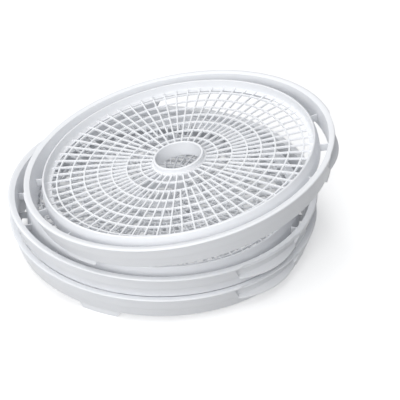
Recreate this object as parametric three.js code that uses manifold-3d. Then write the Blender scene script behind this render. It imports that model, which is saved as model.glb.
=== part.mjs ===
// Stack of three identical round drying trays from a food dehydrator. Millimetres, +Z up.
// The two lower trays nest on one axis; the top one is tipped up at its +X side and rests at -X in
// the middle one. The origin is at the bottom centre of the bounding box.
import * as THREE from "three";
import { mergeVertices } from "three/addons/utils/BufferGeometryUtils.js";
import Module from "manifold-3d";

// Clearances and fineness
const joinGap = 0.3; // between the zones of one moulding
const stackGap = 0.3; // between a tray's lower edge and the rim below it
const roundSteps = 48;
const hubSteps = 24;
const arcSteps = 5;

// Outer wall, radii measured inwards from the rim, depths measured down from the rim's flat top
const trayRadius = 169.5;
const trayDepth = 25.5;
const rimWidth = 7.5;
const flangeThickness = 2.2;
const flangeOverhang = 2.7;
const flangeFillet = 0.6;
const wallDraft = 0.8;
const wallInnerDraft = 3;
const ledgeDepth = 11;
const ledgeStep = 2;
const beadTopDepth = 21.5;
const beadHeight = 1.8;
const beadProjection = 1;
const seatInset = 0.4;

// Ring round the mesh floor, and the ribs that reach from it to the wall
const rimToRing = 13.5;
const ringTopWidth = 2.5;
const ringInnerDraft = 1.2;
const shelfWidth = 5; // flat shelf inside the ring, level with the mesh floor's underside
const shelfThickness = 1.4;
const ringDraft = 2.3;
const ringDepth = 20;
const ringThickness = 2;
const ribCount = 16;
const ribThickness = 1.6;
const ribTopDepth = 12;

// Mesh floor
const meshDepth = 8.5;
const meshThickness = 2.2;
const meshBar = 1.8;
const meshEdge = 5.6; // from the floor's edge to its outermost round bar
const meshRingPitch = 45.15;
const meshSpokes = 32;

// Open tube at the middle
const hubRadius = 30;
const hubBoreRadius = 24.8;
const hubWall = 2;
const hubTopDepth = 3;
const hubDepth = 20;

// Finger grips, one at each end of the tray's X axis
const gripAngle = 34;
const gripTaper = 8; // how much narrower each side is at the ends of the lower edge
const gripSkin = 1.2; // wall left behind the grip
const gripFlangeTrim = 3;
const gripLipTopDepth = 13.8;
const gripLipReach = 0.5; // past the rim
const gripLipDepth = 20.2;
const gripEndDepth = 16; // of the lip, where it is narrowest
const gripPlate = 2.2;

// Feet
const footAngles = [52.5, 172.5, 292.5];
const footSpan = 18.2;
const footTaper = 6; // how much narrower each side is at the bottom
const footHeight = 8;
const footThickness = 1.6;
const footClearance = 0.7;

// How the trays stand
const lowerYaw = -46;
const topYaw = 176.5;
const topTilt = 10.65;
const topSeatInset = 0.25; // the tipped tray's lowest edge, inwards of the mesh floor's edge below it
const topSeatDrop = 0.36; // and below the rim of the tray below it
const topShift = -18.3; // of the tipped tray along Y

const rimInnerRadius = trayRadius - rimWidth;
const wallTopRadius = trayRadius - flangeOverhang;
const skirtRadius = wallTopRadius - wallDraft - ledgeStep;
const seatRadius = skirtRadius - seatInset;
const ringTopRadius = rimInnerRadius - rimToRing;
const shelfOuterRadius = ringTopRadius - ringTopWidth - ringInnerDraft;
const meshRadius = shelfOuterRadius - shelfWidth;
const recessRadius = rimInnerRadius + gripSkin;
const recessDepth = gripLipTopDepth + gripPlate + 3 * joinGap;
const trayPitch = trayDepth + stackGap;
const footDepth = trayDepth + joinGap + footHeight;

const wasm = await Module();
wasm.setup();

const radians = THREE.MathUtils.degToRad;

function solidOf(geometry) {
  const bare = geometry.clone();
  bare.deleteAttribute("normal");
  bare.deleteAttribute("uv");
  const merged = mergeVertices(bare, 1e-4);
  return new wasm.Manifold(
    new wasm.Mesh({
      numProp: 3,
      vertProperties: merged.attributes.position.array,
      triVerts: new Uint32Array(merged.index.array),
    }),
  );
}

function geometryOf(solid) {
  const mesh = solid.getMesh();
  const geometry = new THREE.BufferGeometry();
  geometry.setAttribute("position", new THREE.BufferAttribute(mesh.vertProperties, 3));
  geometry.setIndex(new THREE.BufferAttribute(mesh.triVerts, 1));
  geometry.computeVertexNormals();
  return geometry;
}

// Turns a closed profile of [radius, height] points about Z. The points run anticlockwise.
function turned(profile, steps = roundSteps) {
  const points = [...profile, profile[0]].map(([radius, height]) => new THREE.Vector2(radius, height));
  return solidOf(new THREE.LatheGeometry(points, steps).rotateX(Math.PI / 2));
}

function extruded(shape, depth, bottom) {
  const options = { depth, bevelEnabled: false, curveSegments: arcSteps };
  return new THREE.ExtrudeGeometry(shape, options).translate(0, 0, bottom);
}

function polar(radius, angle) {
  return new THREE.Vector2(radius * Math.cos(angle), radius * Math.sin(angle));
}

// Radius of the outer wall's sloping inner face at a depth below the rim
function wallInnerAt(depth) {
  return rimInnerRadius - wallInnerDraft * (depth / trayDepth);
}

function wallProfile() {
  return [
    [wallInnerAt(trayDepth), -trayDepth],
    [seatRadius, -trayDepth],
    [seatRadius, -beadTopDepth - beadHeight],
    [skirtRadius + beadProjection, -beadTopDepth - beadHeight],
    [skirtRadius + beadProjection, -beadTopDepth],
    [skirtRadius, -beadTopDepth + beadProjection],
    [skirtRadius, -ledgeDepth - flangeFillet],
    [skirtRadius + ledgeStep, -ledgeDepth],
    [wallTopRadius, -flangeThickness - flangeFillet],
    [trayRadius, -flangeThickness],
    [trayRadius, 0],
    [rimInnerRadius, 0],
  ];
}

// Prism along +X, past the rim, from an outline of points across and up
function sidePrism(outline) {
  const upright = new THREE.Matrix4().makeBasis(
    new THREE.Vector3(0, 1, 0),
    new THREE.Vector3(0, 0, 1),
    new THREE.Vector3(1, 0, 0),
  );
  const reach = trayRadius + gripLipReach + gripPlate;
  return solidOf(extruded(outline, reach / 2, reach / 2).applyMatrix4(upright));
}

// Prism with the outline of a grip: straight above, curved below
function gripPrism(top, endDepth, middleDepth, inset) {
  const halfTop = trayRadius * Math.sin(radians(gripAngle / 2)) - inset;
  const halfEnd = halfTop - gripTaper;
  const outline = new THREE.Shape();
  outline.moveTo(halfEnd, -endDepth);
  outline.lineTo(halfTop, top);
  outline.lineTo(-halfTop, top);
  outline.lineTo(-halfEnd, -endDepth);
  outline.quadraticCurveTo(0, endDepth - 2 * middleDepth, halfEnd, -endDepth);
  return sidePrism(outline);
}

// Ring that is bounded by two radii and two heights
function band(inner, outer, bottom, top) {
  return turned([
    [inner, bottom],
    [outer, bottom],
    [outer, top],
    [inner, top],
  ]);
}

function bothEnds(solid) {
  return solid.add(solid.rotate([0, 0, 180]));
}

function outerWall() {
  const past = trayRadius + gripPlate;
  const recessTop = -flangeThickness - flangeFillet;
  const recess = band(recessRadius, past, -recessDepth, recessTop);
  const opening = gripPrism(0, recessDepth, recessDepth + joinGap, 0);
  const trim = band(trayRadius - gripFlangeTrim, past, recessTop - joinGap, gripPlate);
  const trimWidth = gripPrism(gripPlate, gripEndDepth, recessDepth, gripTaper / 2);
  const cuts = recess.intersect(opening).add(trim.intersect(trimWidth));
  return turned(wallProfile()).subtract(bothEnds(cuts));
}

// Sloping lip below the finger gap, a crescent because it is cut off along an arc
function fingerGrip() {
  const inner = recessRadius + joinGap;
  const outer = trayRadius + gripLipReach;
  const lip = turned([
    [inner, -gripLipTopDepth - gripPlate],
    [outer, -gripLipDepth],
    [outer, -gripLipDepth + gripPlate],
    [inner, -gripLipTopDepth],
  ]);
  return lip.intersect(gripPrism(0, gripEndDepth, gripLipDepth + gripPlate / 2, joinGap));
}

function innerRing() {
  const outerBottom = ringTopRadius + ringDraft;
  const shelfEdge = meshRadius + joinGap;
  const shelfBottom = -meshDepth - meshThickness;
  let ring = turned([
    [shelfEdge, shelfBottom],
    [ringTopRadius - ringThickness / 2, shelfBottom],
    [outerBottom - ringThickness, -ringDepth],
    [outerBottom, -ringDepth],
    [ringTopRadius, 0],
    [ringTopRadius - ringTopWidth, 0],
    [shelfOuterRadius, shelfBottom + shelfThickness],
    [shelfEdge, shelfBottom + shelfThickness],
  ]);
  const outline = new THREE.Shape();
  outline.moveTo(outerBottom - ringThickness / 2, -ringDepth);
  outline.lineTo(wallInnerAt(ringDepth) - joinGap, -ringDepth);
  outline.lineTo(wallInnerAt(ribTopDepth) - joinGap, -ribTopDepth);
  outline.lineTo(outerBottom - ringThickness / 2, -ribTopDepth);
  const rib = extruded(outline, ribThickness, -ribThickness / 2).rotateX(Math.PI / 2);
  for (let i = 0; i < ribCount; i++) {
    ring = ring.add(solidOf(rib).rotate([0, 0, (i * 360) / ribCount]));
  }
  return ring;
}

// One opening of the mesh floor, between two round bars and two spokes
function meshHole(inner, outer, spoke) {
  const step = (2 * Math.PI) / meshSpokes;
  const edge = (radius) => Math.asin(meshBar / 2 / radius);
  const hole = new THREE.Shape([
    polar(inner, spoke * step + edge(inner)),
    polar(outer, spoke * step + edge(outer)),
    polar(outer, (spoke + 1) * step - edge(outer)),
    polar(inner, (spoke + 1) * step - edge(inner)),
  ]);
  return solidOf(extruded(hole, 3 * meshThickness, -meshDepth - 2 * meshThickness));
}

function circlePoints(radius, steps) {
  return Array.from({ length: steps }, (_, i) => polar(radius, (2 * Math.PI * i) / steps));
}

function meshFloor() {
  const hubEdge = hubRadius + joinGap;
  const disc = new THREE.Shape(circlePoints(meshRadius, roundSteps));
  disc.holes.push(new THREE.Path(circlePoints(hubEdge, hubSteps)));
  let floor = solidOf(extruded(disc, meshThickness, -meshDepth - meshThickness));
  let outer = meshRadius - meshEdge;
  while (outer > hubEdge + 3 * meshBar) {
    const next = Math.max(outer - meshRingPitch, hubEdge + meshBar);
    for (let spoke = 0; spoke < meshSpokes; spoke++) {
      floor = floor.subtract(meshHole(next + meshBar / 2, outer - meshBar / 2, spoke));
    }
    outer = next;
  }
  return floor;
}

function hubTube() {
  const outer = hubBoreRadius + hubWall;
  return turned(
    [
      [hubBoreRadius, -hubDepth],
      [outer, -hubDepth],
      [outer, -meshDepth - meshThickness],
      [hubRadius, -meshDepth - meshThickness],
      [hubRadius, -meshDepth],
      [outer, -hubTopDepth],
      [hubBoreRadius, -hubTopDepth],
    ],
    hubSteps,
  );
}

// Short stretch of wall below the tray, narrower downwards, just inside the rim that it drops into
function foot() {
  const outer = wallInnerAt(footDepth - trayPitch) - footClearance;
  const top = footHeight - footDepth;
  const half = outer * Math.sin(radians(footSpan / 2));
  const outline = new THREE.Shape();
  outline.moveTo(footTaper - half, -footDepth);
  outline.lineTo(half - footTaper, -footDepth);
  outline.lineTo(half, top);
  outline.lineTo(-half, top);
  return band(outer - footThickness, outer, -footDepth, top).intersect(sidePrism(outline));
}

const zones = {
  outer_wall: outerWall(),
  inner_ring: innerRing(),
  grid: meshFloor(),
  hub_tube: hubTube(),
  right_grip: fingerGrip(),
  left_grip: fingerGrip().rotate([0, 0, 180]),
};
footAngles.forEach((angle, i) => {
  zones[`foot_${i + 1}`] = foot().rotate([0, 0, angle]);
});

function whitePlastic() {
  return new THREE.MeshStandardMaterial({ color: 0xf1f2f1, roughness: 0.42, metalness: 0 });
}

// One tray with its rim's flat top at the group's origin, turned about its own axis
function tray(name, yaw) {
  const group = new THREE.Group();
  for (const [zone, solid] of Object.entries(zones)) {
    const mesh = new THREE.Mesh(geometryOf(solid), whitePlastic());
    mesh.name = `${name}_${zone}`;
    group.add(mesh);
  }
  group.rotation.z = radians(yaw);
  return group;
}

const bottomTray = tray("bottom_tray", lowerYaw);
bottomTray.position.z = footDepth;

const middleTray = tray("middle_tray", lowerYaw);
middleTray.position.z = footDepth + trayPitch;

// The tipped tray's frame: its lowest edge sits just inside the ring of the middle tray
const tipped = new THREE.Group();
const tilt = radians(topTilt);
tipped.add(tray("top_tray", topYaw));
tipped.rotation.y = -tilt;
tipped.position.set(
  topSeatInset - meshRadius + seatRadius * Math.cos(tilt) - trayDepth * Math.sin(tilt),
  topShift,
  middleTray.position.z - topSeatDrop + seatRadius * Math.sin(tilt) + trayDepth * Math.cos(tilt),
);

const stack = new THREE.Group();
stack.add(bottomTray, middleTray, tipped);
stack.updateMatrixWorld(true);
const size = new THREE.Box3().setFromObject(stack, true);
stack.position.set(-(size.min.x + size.max.x) / 2, -(size.min.y + size.max.y) / 2, -size.min.z);

const dryingTrays = new THREE.Group();
dryingTrays.add(stack);

export default dryingTrays;
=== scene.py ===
# White drying trays of a food dehydrator: two stacked, the third tipped up on top of them.
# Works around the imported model. Lengths in the dictionaries are millimetres, angles degrees.
import math

import bmesh
import bpy
from mathutils import Matrix, Vector


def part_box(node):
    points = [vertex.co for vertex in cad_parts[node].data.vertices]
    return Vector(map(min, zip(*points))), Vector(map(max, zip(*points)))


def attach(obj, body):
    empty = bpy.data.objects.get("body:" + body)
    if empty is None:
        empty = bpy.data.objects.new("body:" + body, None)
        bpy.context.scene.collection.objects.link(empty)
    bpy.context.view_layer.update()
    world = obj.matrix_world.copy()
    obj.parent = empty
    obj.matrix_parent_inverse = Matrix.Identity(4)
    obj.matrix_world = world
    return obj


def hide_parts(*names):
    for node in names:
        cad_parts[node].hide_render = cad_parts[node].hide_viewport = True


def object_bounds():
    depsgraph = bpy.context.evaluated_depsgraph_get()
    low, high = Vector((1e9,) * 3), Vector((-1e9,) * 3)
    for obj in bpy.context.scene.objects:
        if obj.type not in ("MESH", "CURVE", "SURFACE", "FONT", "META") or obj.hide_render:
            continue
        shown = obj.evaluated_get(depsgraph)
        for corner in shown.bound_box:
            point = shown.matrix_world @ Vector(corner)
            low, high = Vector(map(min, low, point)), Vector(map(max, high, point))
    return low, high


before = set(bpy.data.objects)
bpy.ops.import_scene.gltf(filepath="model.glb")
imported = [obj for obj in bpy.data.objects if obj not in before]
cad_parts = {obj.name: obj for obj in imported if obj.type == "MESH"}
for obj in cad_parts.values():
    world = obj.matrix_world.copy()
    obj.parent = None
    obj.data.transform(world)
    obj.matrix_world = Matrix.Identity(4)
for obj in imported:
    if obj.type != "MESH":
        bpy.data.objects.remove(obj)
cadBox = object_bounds()
scene = bpy.context.scene
mm = 0.001


def rotation(angle, axis, size=4):
    return Matrix.Rotation(math.radians(angle), size, axis)


# how the three trays stand; a tray's own origin is the middle of its rim's flat top
standing = {
    "lowerYaw": -46,
    "topYaw": 176.5,
    "topTilt": 10.65,
    "gridMiddleDepth": 9.6,  # from the rim's top to the middle of the CAD floor
}


def lowerPlacement(body):
    low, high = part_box(body + "_outer_wall")
    middle = (low + high) / 2
    place = Matrix.Translation((middle.x, middle.y, high.z))
    return place @ rotation(standing["lowerYaw"], "Z")


def tippedPlacement(body):
    low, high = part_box(body + "_grid")
    tilt = rotation(-standing["topTilt"], "Y")
    upwards = tilt @ Vector((0, 0, 1))
    origin = (low + high) / 2 + upwards * standing["gridMiddleDepth"] * mm
    return Matrix.Translation(origin) @ tilt @ rotation(standing["topYaw"], "Z")


placements = {
    "bottom_tray": lowerPlacement("bottom_tray"),
    "middle_tray": lowerPlacement("middle_tray"),
    "top_tray": tippedPlacement("top_tray"),
}

# camera, placed from the middle tray's rim
view = {"lens": 130.5, "pitch": 55.2, "offset": (40.5, -1315.1, 894.6)}

cameraData = bpy.data.cameras.new("camera")
cameraData.lens = view["lens"]
camera = bpy.data.objects.new("camera", cameraData)
camera.location = placements["middle_tray"].translation + Vector(view["offset"]) * mm
camera.rotation_euler = (math.radians(view["pitch"]), 0, 0)
scene.collection.objects.link(camera)
scene.camera = camera
print("camera placed")


# An sRGB hex code as linear red, green, blue and alpha
def linearColour(hexCode):
    channels = [int(hexCode[i:i + 2], 16) / 255 for i in (1, 3, 5)]
    return [c / 12.92 if c <= 0.04045 else ((c + 0.055) / 1.055) ** 2.4 for c in channels] + [1]


def addNode(tree, kind, settings, values, links):
    node = tree.nodes.new(kind)
    for name, value in settings.items():
        setattr(node, name, value)
    for name, value in values.items():
        node.inputs[name].default_value = value
    for name, (source, output) in links.items():
        tree.links.new(source.outputs[output], node.inputs[name])
    return node


# Injection-moulded ABS: a dense cool white with a satin skin from a lightly sparked mould. The
# eye gets broad soft highlights that break up a little, and a faint cloudiness where the melt
# flowed.
def mouldedAbs(name, look):
    material = bpy.data.materials.new(name)
    material.use_nodes = True
    tree = material.node_tree
    shader = tree.nodes["Principled BSDF"]
    shader.inputs["IOR"].default_value = look["ior"]
    shader.inputs["Subsurface Weight"].default_value = look["milkiness"]
    shader.inputs["Subsurface Radius"].default_value = look["lightSpread"]
    shader.inputs["Subsurface Scale"].default_value = look["lightDepth"] * mm
    place = addNode(tree, "ShaderNodeTexCoord", {}, {}, {})
    flow = addNode(tree, "ShaderNodeTexNoise", {},
                   {"Scale": 1 / (look["flowSize"] * mm), "Detail": 3, "Roughness": 0.55},
                   {"Vector": (place, "Object")})
    tint = addNode(tree, "ShaderNodeMix", {"data_type": "RGBA"},
                   {"A": linearColour(look["shade"]), "B": linearColour(look["colour"])},
                   {"Factor": (flow, "Fac")})
    tree.links.new(tint.outputs["Result"], shader.inputs["Base Color"])
    skin = addNode(tree, "ShaderNodeTexNoise", {},
                   {"Scale": 1 / (look["polishSize"] * mm), "Detail": 4, "Roughness": 0.6},
                   {"Vector": (place, "Object")})
    # the noise mostly stays between 0.3 and 0.7
    smoothest, roughest = look["roughness"]
    gloss = addNode(tree, "ShaderNodeMapRange", {},
                    {"From Min": 0.3, "From Max": 0.7, "To Min": smoothest, "To Max": roughest},
                    {"Value": (skin, "Fac")})
    tree.links.new(gloss.outputs["Result"], shader.inputs["Roughness"])
    # the mould's grain is about 0.1 mm, drawn coarser here so that it shows at all
    grain = addNode(tree, "ShaderNodeTexNoise", {},
                    {"Scale": 1 / (look["grainSize"] * mm), "Detail": 2, "Roughness": 0.5},
                    {"Vector": (place, "Object")})
    relief = addNode(tree, "ShaderNodeBump", {},
                     {"Strength": look["grainStrength"], "Distance": look["grainHeight"] * mm},
                     {"Height": (grain, "Fac")})
    tree.links.new(relief.outputs["Normal"], shader.inputs["Normal"])
    return material


# what the plastic is like all over, then its two finishes
plastic = {
    "ior": 1.5,
    "milkiness": 0.2,
    "lightSpread": (1, 0.97, 0.93),  # red, green and blue
    "grainHeight": 0.05,
}
wallLook = {
    **plastic,
    "colour": "#ECEDF0",
    "shade": "#E6E8EB",
    "flowSize": 55,
    "polishSize": 9,
    "roughness": (0.31, 0.42),
    "grainSize": 0.7,
    "grainStrength": 0.25,
    "lightDepth": 3,
}
floorLook = {
    **plastic,
    "colour": "#EEEFF2",
    "shade": "#E8EAED",
    "flowSize": 30,
    "polishSize": 6,
    "roughness": (0.39, 0.5),
    "grainSize": 0.6,
    "grainStrength": 0.2,
    "lightDepth": 2,
}
wallPlastic = mouldedAbs("moulded_abs_satin", wallLook)
meshPlastic = mouldedAbs("moulded_abs_fine_matt", floorLook)
print("materials made")

# how every shape is made
shaping = {
    "weld": 0.002,  # points closer than this become one
    "roundingSteps": 3,
    "tolerance": 0.1,  # a height this close to another counts as the same
    "fineTolerance": 0.01,
    "sharpAngle": 38,
}


# Closed outline in the XZ plane, from corners given as radius, height and rounding
def roundedOutline(corners, roundingSteps):
    bm = bmesh.new()
    points = [bm.verts.new((radius, 0, height)) for radius, height, _ in corners]
    bm.faces.new(points)
    for rounding in sorted({corner[2] for corner in corners if corner[2]}, reverse=True):
        chosen = [point for point, corner in zip(points, corners) if corner[2] == rounding]
        bmesh.ops.bevel(bm, geom=chosen, offset=rounding, offset_type="OFFSET",
                        segments=roundingSteps, profile=0.5, affect="VERTICES", material=-1)
    return bm


def cleaned(bm):
    bmesh.ops.remove_doubles(bm, verts=bm.verts, dist=shaping["weld"])
    bmesh.ops.recalc_face_normals(bm, faces=bm.faces)
    return bm


def turned(bm, angle):
    bmesh.ops.rotate(bm, verts=bm.verts, cent=(0, 0, 0), matrix=rotation(angle, "Z", 3))
    return bm


# Spins a line of edges all the way round
def spunRound(bm, steps):
    bmesh.ops.spin(bm, geom=bm.verts[:] + bm.edges[:], cent=(0, 0, 0), axis=(0, 0, 1),
                   dvec=(0, 0, 0), angle=2 * math.pi, steps=steps, use_merge=True,
                   use_duplicate=False)
    return cleaned(bm)


def fullTurn(corners, steps, roundingSteps=shaping["roundingSteps"]):
    bm = roundedOutline(corners, roundingSteps)
    bmesh.ops.delete(bm, geom=bm.faces[:], context="FACES_ONLY")
    return spunRound(bm, steps)


# Solid sector, centred on the tray's X axis
def partTurn(corners, span, steps):
    bm = turned(roundedOutline(corners, shaping["roundingSteps"]), -span / 2)
    bmesh.ops.spin(bm, geom=bm.faces[:], cent=(0, 0, 0), axis=(0, 0, 1), dvec=(0, 0, 0),
                   angle=math.radians(span), steps=steps, use_merge=False, use_duplicate=False)
    return cleaned(bm)


# Joins or cuts two shapes with a boolean modifier. Both are used up.
def combined(base, tool, operation):
    pair = []
    for bm in (base, tool):
        mesh = bpy.data.meshes.new("work")
        bm.to_mesh(mesh)
        bm.free()
        pair.append(bpy.data.objects.new("work", mesh))
        scene.collection.objects.link(pair[-1])
    modifier = pair[0].modifiers.new("boolean", "BOOLEAN")
    modifier.operation = operation
    modifier.object = pair[1]
    modifier.solver = "EXACT"
    result = bmesh.new()
    result.from_object(pair[0], bpy.context.evaluated_depsgraph_get())
    for workObject in pair:
        bpy.data.meshes.remove(workObject.data)
    return cleaned(result)


def angleOf(vertex):
    return math.degrees(math.atan2(vertex.co.y, vertex.co.x))


def turnTo(vertex, angle):
    radius = vertex.co.xy.length
    vertex.co.xy = (radius * math.cos(math.radians(angle)),
                    radius * math.sin(math.radians(angle)))


def clamped(share):
    return min(max(share, 0), 1)


# outer wall: flat rim with a narrow flange, and a leaning skirt with a fine ledge round it
wall = {
    "rimRadius": 169.5,
    "depth": 25.5,
    "rimFlat": 3,
    "rimChamfer": (4.5, 0.9),  # how far it runs inwards and how far it falls
    "flangeThickness": 2.2,
    "flangeOverhang": 1,
    "flangeRootDrop": 0.4,  # its underside is lower at the wall
    "flangeEdgeRise": 0.3,  # and higher at its edge
    "innerDraft": 3,
    "ledgeDepth": 14,
    "ledgeHeight": 1,
    "ledgeStep": 0.5,
    "footRadius": 161.8,
    "footing": 0.8,  # how far the skirt's outer edge hangs below its inner one
    "steps": 192,
    "rounding": {
        "innerFoot": 0.5,
        "outerFoot": 0.15,
        "underLedge": 0.6,
        "ledge": 0.4,
        "flangeRoot": 0.3,
        "flangeEdge": 0.6,
        "rimEdge": 1.3,
        "rimFlat": 0.8,
        "chamfer": 0.4,
    },
}
wallInnerTop = wall["rimRadius"] - wall["rimFlat"] - wall["rimChamfer"][0]
wallOuterTop = wall["rimRadius"] - wall["flangeOverhang"]


def wallInnerAt(depth):
    return wallInnerTop - wall["innerDraft"] * depth / wall["depth"]


def wallOuterAt(depth):
    share = (depth - wall["flangeThickness"]) / (wall["depth"] - wall["flangeThickness"])
    return wallOuterTop + (wall["footRadius"] - wallOuterTop) * share


def wallCorners():
    skirtAtLedge = wallOuterAt(wall["ledgeDepth"])
    flangeRoot = -wall["flangeThickness"] - wall["flangeRootDrop"]
    flangeEdge = -wall["flangeThickness"] + wall["flangeEdgeRise"]
    rounding = wall["rounding"]
    return [
        (wallInnerAt(wall["depth"]), -wall["depth"], rounding["innerFoot"]),
        (wall["footRadius"], -wall["depth"] - wall["footing"], rounding["outerFoot"]),
        (skirtAtLedge, -wall["ledgeDepth"] - wall["ledgeHeight"], rounding["underLedge"]),
        (skirtAtLedge + wall["ledgeStep"], -wall["ledgeDepth"], rounding["ledge"]),
        (wallOuterTop, flangeRoot, rounding["flangeRoot"]),
        (wall["rimRadius"], flangeEdge, rounding["flangeEdge"]),
        (wall["rimRadius"], 0, rounding["rimEdge"]),
        (wall["rimRadius"] - wall["rimFlat"], 0, rounding["rimFlat"]),
        (wallInnerTop, -wall["rimChamfer"][1], rounding["chamfer"]),
    ]


# finger grip at each end of the tray's X axis: a recess under the rim and a sloping lip in it
grip = {
    "halfAngle": 17,
    "lowerHalfAngle": 14.4,
    "skin": 1.2,  # wall left behind the recess
    "top": 2.8,
    "topBand": 1,  # the recess only narrows below this
    "depth": 16.9,
    "cutterReach": 4,
    "recessSteps": 34,
    "rimTrim": 3,
    "trimAngle": 15.5,
    "trimFade": 3.5,
    "lipTop": 13.8,
    "lipBottom": 20.2,
    "lipReach": 0.5,
    "lipPlate": 2.2,
    "lipRoot": 0.3,  # how far the lip goes into the wall
    "lipHalfAngle": 15.2,
    "lipEndAngle": 12,
    "lipEndShare": 0.62,
    "lipTipShare": 0.06,
    "lipSteps": 78,
    "rounding": {
        "lipUnder": 1,
        "lipEdge": 0.9,
        "lipRoot": 0.3,
    },
}
recessRadius = wallInnerTop + grip["skin"]


# How far the lip reaches out at an angle: a crescent with rounded ends
def lipShareAt(angle):
    away = abs(angle)
    if away < grip["lipEndAngle"]:
        return 1 - (1 - grip["lipEndShare"]) * (away / grip["lipEndAngle"]) ** 2
    past = (away - grip["lipEndAngle"]) / (grip["lipHalfAngle"] - grip["lipEndAngle"])
    return max(grip["lipEndShare"] * math.sqrt(max(1 - past * past, 0)), grip["lipTipShare"])


def gripRecess():
    past = wall["rimRadius"] + grip["cutterReach"]
    corners = [
        (recessRadius, -grip["depth"], 0),
        (past, -grip["depth"], 0),
        (past, -grip["top"], 0),
        (recessRadius, -grip["top"], 0),
    ]
    bm = partTurn(corners, 2 * grip["halfAngle"], grip["recessSteps"])
    for vertex in bm.verts:
        if vertex.co.z < -grip["top"] - grip["topBand"]:
            turnTo(vertex, angleOf(vertex) * grip["lowerHalfAngle"] / grip["halfAngle"])
    return bm


# The rim is drawn in over each grip
def trimRim(bm):
    lowest = -grip["top"] - shaping["tolerance"]
    for vertex in bm.verts:
        radius = vertex.co.xy.length
        if radius < wallOuterTop + shaping["fineTolerance"] or vertex.co.z < lowest:
            continue
        away = abs((angleOf(vertex) + 90) % 180 - 90)  # from the nearer grip's middle
        share = clamped((grip["trimAngle"] - away) / grip["trimFade"])
        ease = share * share * (3 - 2 * share)  # slow at both ends
        overhang = (radius - wallOuterTop) / wall["flangeOverhang"]
        vertex.co.xy *= (radius - grip["rimTrim"] * ease * overhang) / radius


def outerWall():
    bm = fullTurn(wallCorners(), wall["steps"])
    trimRim(bm)
    first = gripRecess()
    second = turned(first.copy(), 180)
    bm = combined(bm, first, "DIFFERENCE")
    return combined(bm, second, "DIFFERENCE")


def fingerGrip():
    inner = recessRadius - grip["lipRoot"]
    outer = wall["rimRadius"] + grip["lipReach"]
    lipEdgeTop = grip["lipBottom"] - grip["lipPlate"]
    rounding = grip["rounding"]
    corners = [
        (inner, -grip["lipTop"] - grip["lipPlate"], 0),
        (outer, -grip["lipBottom"], rounding["lipUnder"]),
        (outer, -lipEdgeTop, rounding["lipEdge"]),
        (inner, -grip["lipTop"], rounding["lipRoot"]),
    ]
    bm = partTurn(corners, 2 * grip["lipHalfAngle"], grip["lipSteps"])
    fall = (lipEdgeTop - grip["lipTop"]) / (outer - inner)
    for vertex in bm.verts:
        radius = vertex.co.xy.length
        drawnIn = (radius - inner) * (1 - lipShareAt(angleOf(vertex)))
        vertex.co.xy *= (radius - drawnIn) / radius
        vertex.co.z += drawnIn * fall
    return cleaned(bm)


# ring round the floor, with the ribs that hold it inside the wall
ring = {
    "rimToRing": 13.5,
    "topWidth": 2.5,
    "topInset": 0.6,
    "innerDraft": 1.2,
    "draft": 2.3,
    "sideDraft": 0.4,  # from its foot up to where the slope starts
    "depth": 20,
    "slopeDepth": 9,
    "thickness": 2,
    "shelfWidth": 5,
    "shelfTop": 10,
    "shelfBottom": 11.4,
    "underShelfInset": 1,
    "ribCount": 16,
    "ribThickness": 1.6,
    "ribTop": 12,
    "ribOverlap": 0.3,  # how far a rib goes into the wall
    "roundingSteps": 4,
    "ribRoundingSteps": 2,
    "steps": 192,
    "rounding": {
        "shelfUnder": 0.4,
        "underShelf": 0.8,
        "foot": 0.5,
        "slope": 1.8,
        "topOuter": 1.1,
        "topInner": 0.7,
        "shelfCorner": 2.6,
        "shelfEdge": 0.5,
        "rib": 0.35,
    },
}
ringOuterTop = wallInnerTop - ring["rimToRing"]
ringInnerTop = ringOuterTop - ring["topWidth"]
ringOuterFoot = ringOuterTop + ring["draft"]
shelfOuter = ringInnerTop - ring["innerDraft"]
shelfInner = shelfOuter - ring["shelfWidth"]


def straightRib():
    inside = ringOuterFoot - ring["thickness"] / 2
    outside = wallInnerAt(ring["depth"]) + ring["ribOverlap"]
    bm = bmesh.new()
    bmesh.ops.create_cube(bm, size=1)
    size = (outside - inside, ring["ribThickness"], ring["depth"] - ring["ribTop"])
    bmesh.ops.scale(bm, verts=bm.verts, vec=size)
    middle = ((inside + outside) / 2, 0, -(ring["depth"] + ring["ribTop"]) / 2)
    bmesh.ops.translate(bm, verts=bm.verts, vec=middle)
    lowest = -ring["ribTop"] - shaping["tolerance"]
    upper = [edge for edge in bm.edges if min(v.co.z for v in edge.verts) > lowest]
    bmesh.ops.bevel(bm, geom=upper, offset=ring["rounding"]["rib"],
                    segments=ring["ribRoundingSteps"], profile=0.5, affect="EDGES", material=-1)
    return bm


def innerRing():
    rounding = ring["rounding"]
    corners = [
        (shelfInner, -ring["shelfBottom"], rounding["shelfUnder"]),
        (ringOuterTop - ring["underShelfInset"], -ring["shelfBottom"], rounding["underShelf"]),
        (ringOuterFoot - ring["thickness"], -ring["depth"], rounding["foot"]),
        (ringOuterFoot, -ring["depth"], rounding["foot"]),
        (ringOuterFoot - ring["sideDraft"], -ring["slopeDepth"], rounding["slope"]),
        (ringOuterTop - ring["topInset"], 0, rounding["topOuter"]),
        (ringInnerTop, 0, rounding["topInner"]),
        (shelfOuter, -ring["shelfTop"], rounding["shelfCorner"]),
        (shelfInner, -ring["shelfTop"], rounding["shelfEdge"]),
    ]
    bm = fullTurn(corners, ring["steps"], ring["roundingSteps"])
    for index in range(ring["ribCount"]):
        bm = combined(bm, turned(straightRib(), 360 * index / ring["ribCount"]), "UNION")
    return bm


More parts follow.
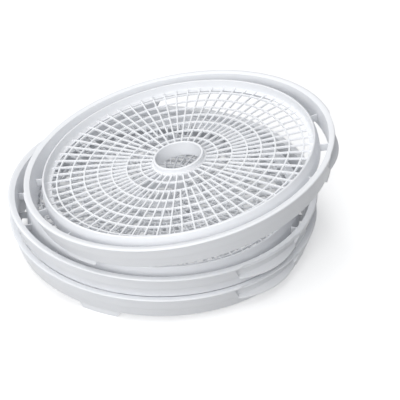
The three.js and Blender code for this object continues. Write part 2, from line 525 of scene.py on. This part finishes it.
# open floor of round bars and spokes, with half as many spokes next to the hub
lattice = {
    "top": 8.5,
    "thickness": 2.2,
    "barWidth": 1.9,
    "rings": (42, 57.5, 74, 89.05, 104.1, 119.15, 134.2),
    "spokes": 64,
    "sparseRadius": 58,
    "hubOverlap": 1.1,
    "ringOverlap": 0.8,
    "rounding": 0.45,
    "roundingSteps": 2,
    "roundedAngle": 1,  # radians: only edges with a sharper bend than this are rounded
}

# open tube at the middle: an upright collar on a flat flange
hub = {
    "radius": 30,
    "bore": 24.8,
    "wall": 2,
    "collar": 27.6,
    "collarDraft": 0.3,
    "top": 3,
    "depth": 20,
    "steps": 96,
    "rounding": {
        "foot": 0.4,
        "underFlange": 0.5,
        "flangeUnder": 0.3,
        "flange": 0.4,
        "collarFoot": 0.5,
        "collarTop": 0.7,
    },
}


def latticeFloor():
    bm = bmesh.new()
    radii = (hub["radius"] - lattice["hubOverlap"], *lattice["rings"],
             shelfOuter + lattice["ringOverlap"])
    line = [bm.verts.new((radius, 0, -lattice["top"])) for radius in radii]
    for start, end in zip(line, line[1:]):
        bm.edges.new((start, end))
    spunRound(bm, lattice["spokes"])
    step = 360 / lattice["spokes"]
    spare = []
    for edge in bm.edges:
        start, end = [vertex.co.xy.length for vertex in edge.verts]
        isSpoke = abs(start - end) > lattice["barWidth"] / 2
        isOdd = round(angleOf(edge.verts[0]) / step) % 2
        if isSpoke and isOdd and max(start, end) < lattice["sparseRadius"]:
            spare.append(edge)
    bmesh.ops.dissolve_edges(bm, edges=spare, use_verts=False)
    cells = bm.faces[:]
    bmesh.ops.inset_individual(bm, faces=cells, thickness=lattice["barWidth"] / 2, depth=0,
                               use_even_offset=True)
    bmesh.ops.delete(bm, geom=cells, context="FACES")
    deep = bmesh.ops.extrude_face_region(bm, geom=bm.faces[:], use_keep_orig=True)["geom"]
    lower = [item for item in deep if isinstance(item, bmesh.types.BMVert)]
    bmesh.ops.translate(bm, verts=lower, vec=(0, 0, -lattice["thickness"]))
    bmesh.ops.recalc_face_normals(bm, faces=bm.faces)
    lowest = -lattice["top"] - shaping["tolerance"]
    upper = [edge for edge in bm.edges if min(v.co.z for v in edge.verts) > lowest
             and edge.calc_face_angle(0) > lattice["roundedAngle"]]
    bmesh.ops.bevel(bm, geom=upper, offset=lattice["rounding"],
                    segments=lattice["roundingSteps"], profile=0.5, affect="EDGES", material=-1)
    return cleaned(bm)


def hubTube():
    outer = hub["bore"] + hub["wall"]
    under = -lattice["top"] - lattice["thickness"]
    rounding = hub["rounding"]
    corners = [
        (hub["bore"], -hub["depth"], rounding["foot"]),
        (outer, -hub["depth"], rounding["foot"]),
        (outer, under, rounding["underFlange"]),
        (hub["radius"], under, rounding["flangeUnder"]),
        (hub["radius"], -lattice["top"], rounding["flange"]),
        (hub["collar"], -lattice["top"], rounding["collarFoot"]),
        (hub["collar"] - hub["collarDraft"], -hub["top"], rounding["collarTop"]),
        (hub["bore"], -hub["top"], rounding["collarTop"]),
    ]
    return fullTurn(corners, hub["steps"])


# short feet under the wall, which drop inside the rim of a tray below
foot = {
    "angles": (52.5, 172.5, 292.5),
    "span": 18.2,
    "lowerSpan": 13.9,
    "top": 25.8,
    "bottom": 33.8,
    "thickness": 1.6,
    "wallOverlap": 0.6,
    "stackGap": 0.3,  # height between a tray and the one it stands on
    "clearance": 0.7,
    "rounding": 0.5,
    "steps": 24,
}


def trayFoot(angle):
    nestedDepth = foot["bottom"] - wall["depth"] - foot["stackGap"]
    outer = wallInnerAt(nestedDepth) - foot["clearance"]
    inner = outer - foot["thickness"]
    corners = [
        (inner, -foot["bottom"], foot["rounding"]),
        (outer, -foot["bottom"], foot["rounding"]),
        (outer, -foot["top"] + foot["wallOverlap"], 0),
        (inner, -foot["top"] + foot["wallOverlap"], 0),
    ]
    bm = partTurn(corners, foot["span"], foot["steps"])
    for vertex in bm.verts:
        lower = clamped((-vertex.co.z - foot["top"]) / (foot["bottom"] - foot["top"]))
        narrowing = 1 - (1 - foot["lowerSpan"] / foot["span"]) * lower
        turnTo(vertex, angleOf(vertex) * narrowing + angle)
    return bm


# each zone of a tray: its shape and its plastic
zones = {
    "outer_wall": (outerWall(), wallPlastic),
    "inner_ring": (innerRing(), wallPlastic),
    "grid": (latticeFloor(), meshPlastic),
    "hub_tube": (hubTube(), meshPlastic),
}
print("wall, ring, floor and hub shaped")
rightGrip = fingerGrip()
zones["right_grip"] = (rightGrip, wallPlastic)
zones["left_grip"] = (turned(rightGrip.copy(), 180), wallPlastic)
for number, angle in enumerate(foot["angles"], 1):
    zones[f"foot_{number}"] = (trayFoot(angle), wallPlastic)
print("grips and feet shaped")


def addPiece(body, zone, bm, material):
    mesh = bpy.data.meshes.new(f"{body}_{zone}_skin")
    placed = bm.copy()
    placed.transform(placements[body] @ Matrix.Scale(mm, 4))
    placed.to_mesh(mesh)
    placed.free()
    mesh.shade_smooth()
    mesh.set_sharp_from_angle(angle=math.radians(shaping["sharpAngle"]))
    mesh.materials.append(material)
    piece = bpy.data.objects.new(f"{body}_{zone}_skin", mesh)
    scene.collection.objects.link(piece)
    weighting = piece.modifiers.new("weighted normals", "WEIGHTED_NORMAL")
    weighting.keep_sharp = True
    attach(piece, body)
    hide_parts(f"{body}_{zone}")


for body in placements:
    for zone, (bm, material) in zones.items():
        addPiece(body, zone, bm, material)
    print(body, "assembled")

# plain pale floor and soft studio light
studio = {
    "floorSize": 16000,
    "floorColour": "#FAFAFA",
    "floorRoughness": 0.9,
    "floorShine": 0.1,
    "floorGlow": 0.3,
    "roomColour": "#F7F9FC",
    "roomLight": 0.31,
    "lights": {
        # name: place, size, power in watts
        "overhead": ((0, -647, 2415), 2000, 17),
        "front": ((-535, -2140, 1175), 1400, 32),
        "frontLeft": ((-1960, -1130, 1060), 1300, 12),
        "backLeft": ((-1030, 1230, 1915), 1300, 20),
    },
}

floorMesh = bpy.data.meshes.new("studio_floor")
floorBm = bmesh.new()
bmesh.ops.create_grid(floorBm, x_segments=1, y_segments=1, size=studio["floorSize"] / 2 * mm)
floorBm.to_mesh(floorMesh)
floorBm.free()
studioFloor = bpy.data.objects.new("studio_floor", floorMesh)
scene.collection.objects.link(studioFloor)
# the floor throws no light back, so that the trays keep their dark side
studioFloor.visible_diffuse = False

# matt white backdrop paper: no highlight, and a faint glow that keeps it white
paper = bpy.data.materials.new("matt_backdrop_paper")
paper.use_nodes = True
paperShader = paper.node_tree.nodes["Principled BSDF"]
paperShader.inputs["Roughness"].default_value = studio["floorRoughness"]
paperShader.inputs["Specular IOR Level"].default_value = studio["floorShine"]
paperShader.inputs["Base Color"].default_value = linearColour(studio["floorColour"])
paperShader.inputs["Emission Color"].default_value = linearColour(studio["floorColour"])
paperShader.inputs["Emission Strength"].default_value = studio["floorGlow"]
floorMesh.materials.append(paper)

world = bpy.data.worlds.new("studio")
world.use_nodes = True
background = world.node_tree.nodes["Background"]
background.inputs["Color"].default_value = linearColour(studio["roomColour"])
background.inputs["Strength"].default_value = studio["roomLight"]
scene.world = world

aim = (Vector(cadBox[0]) + Vector(cadBox[1])) / 2
for name, (place, size, power) in studio["lights"].items():
    lampData = bpy.data.lights.new(name, "AREA")
    lampData.size = size * mm
    lampData.energy = power
    lamp = bpy.data.objects.new(name, lampData)
    lamp.location = Vector(place) * mm
    lamp.rotation_euler = (aim - lamp.location).to_track_quat("-Z", "Y").to_euler()
    scene.collection.objects.link(lamp)

scene.view_settings.view_transform = "Standard"
print("studio lit")
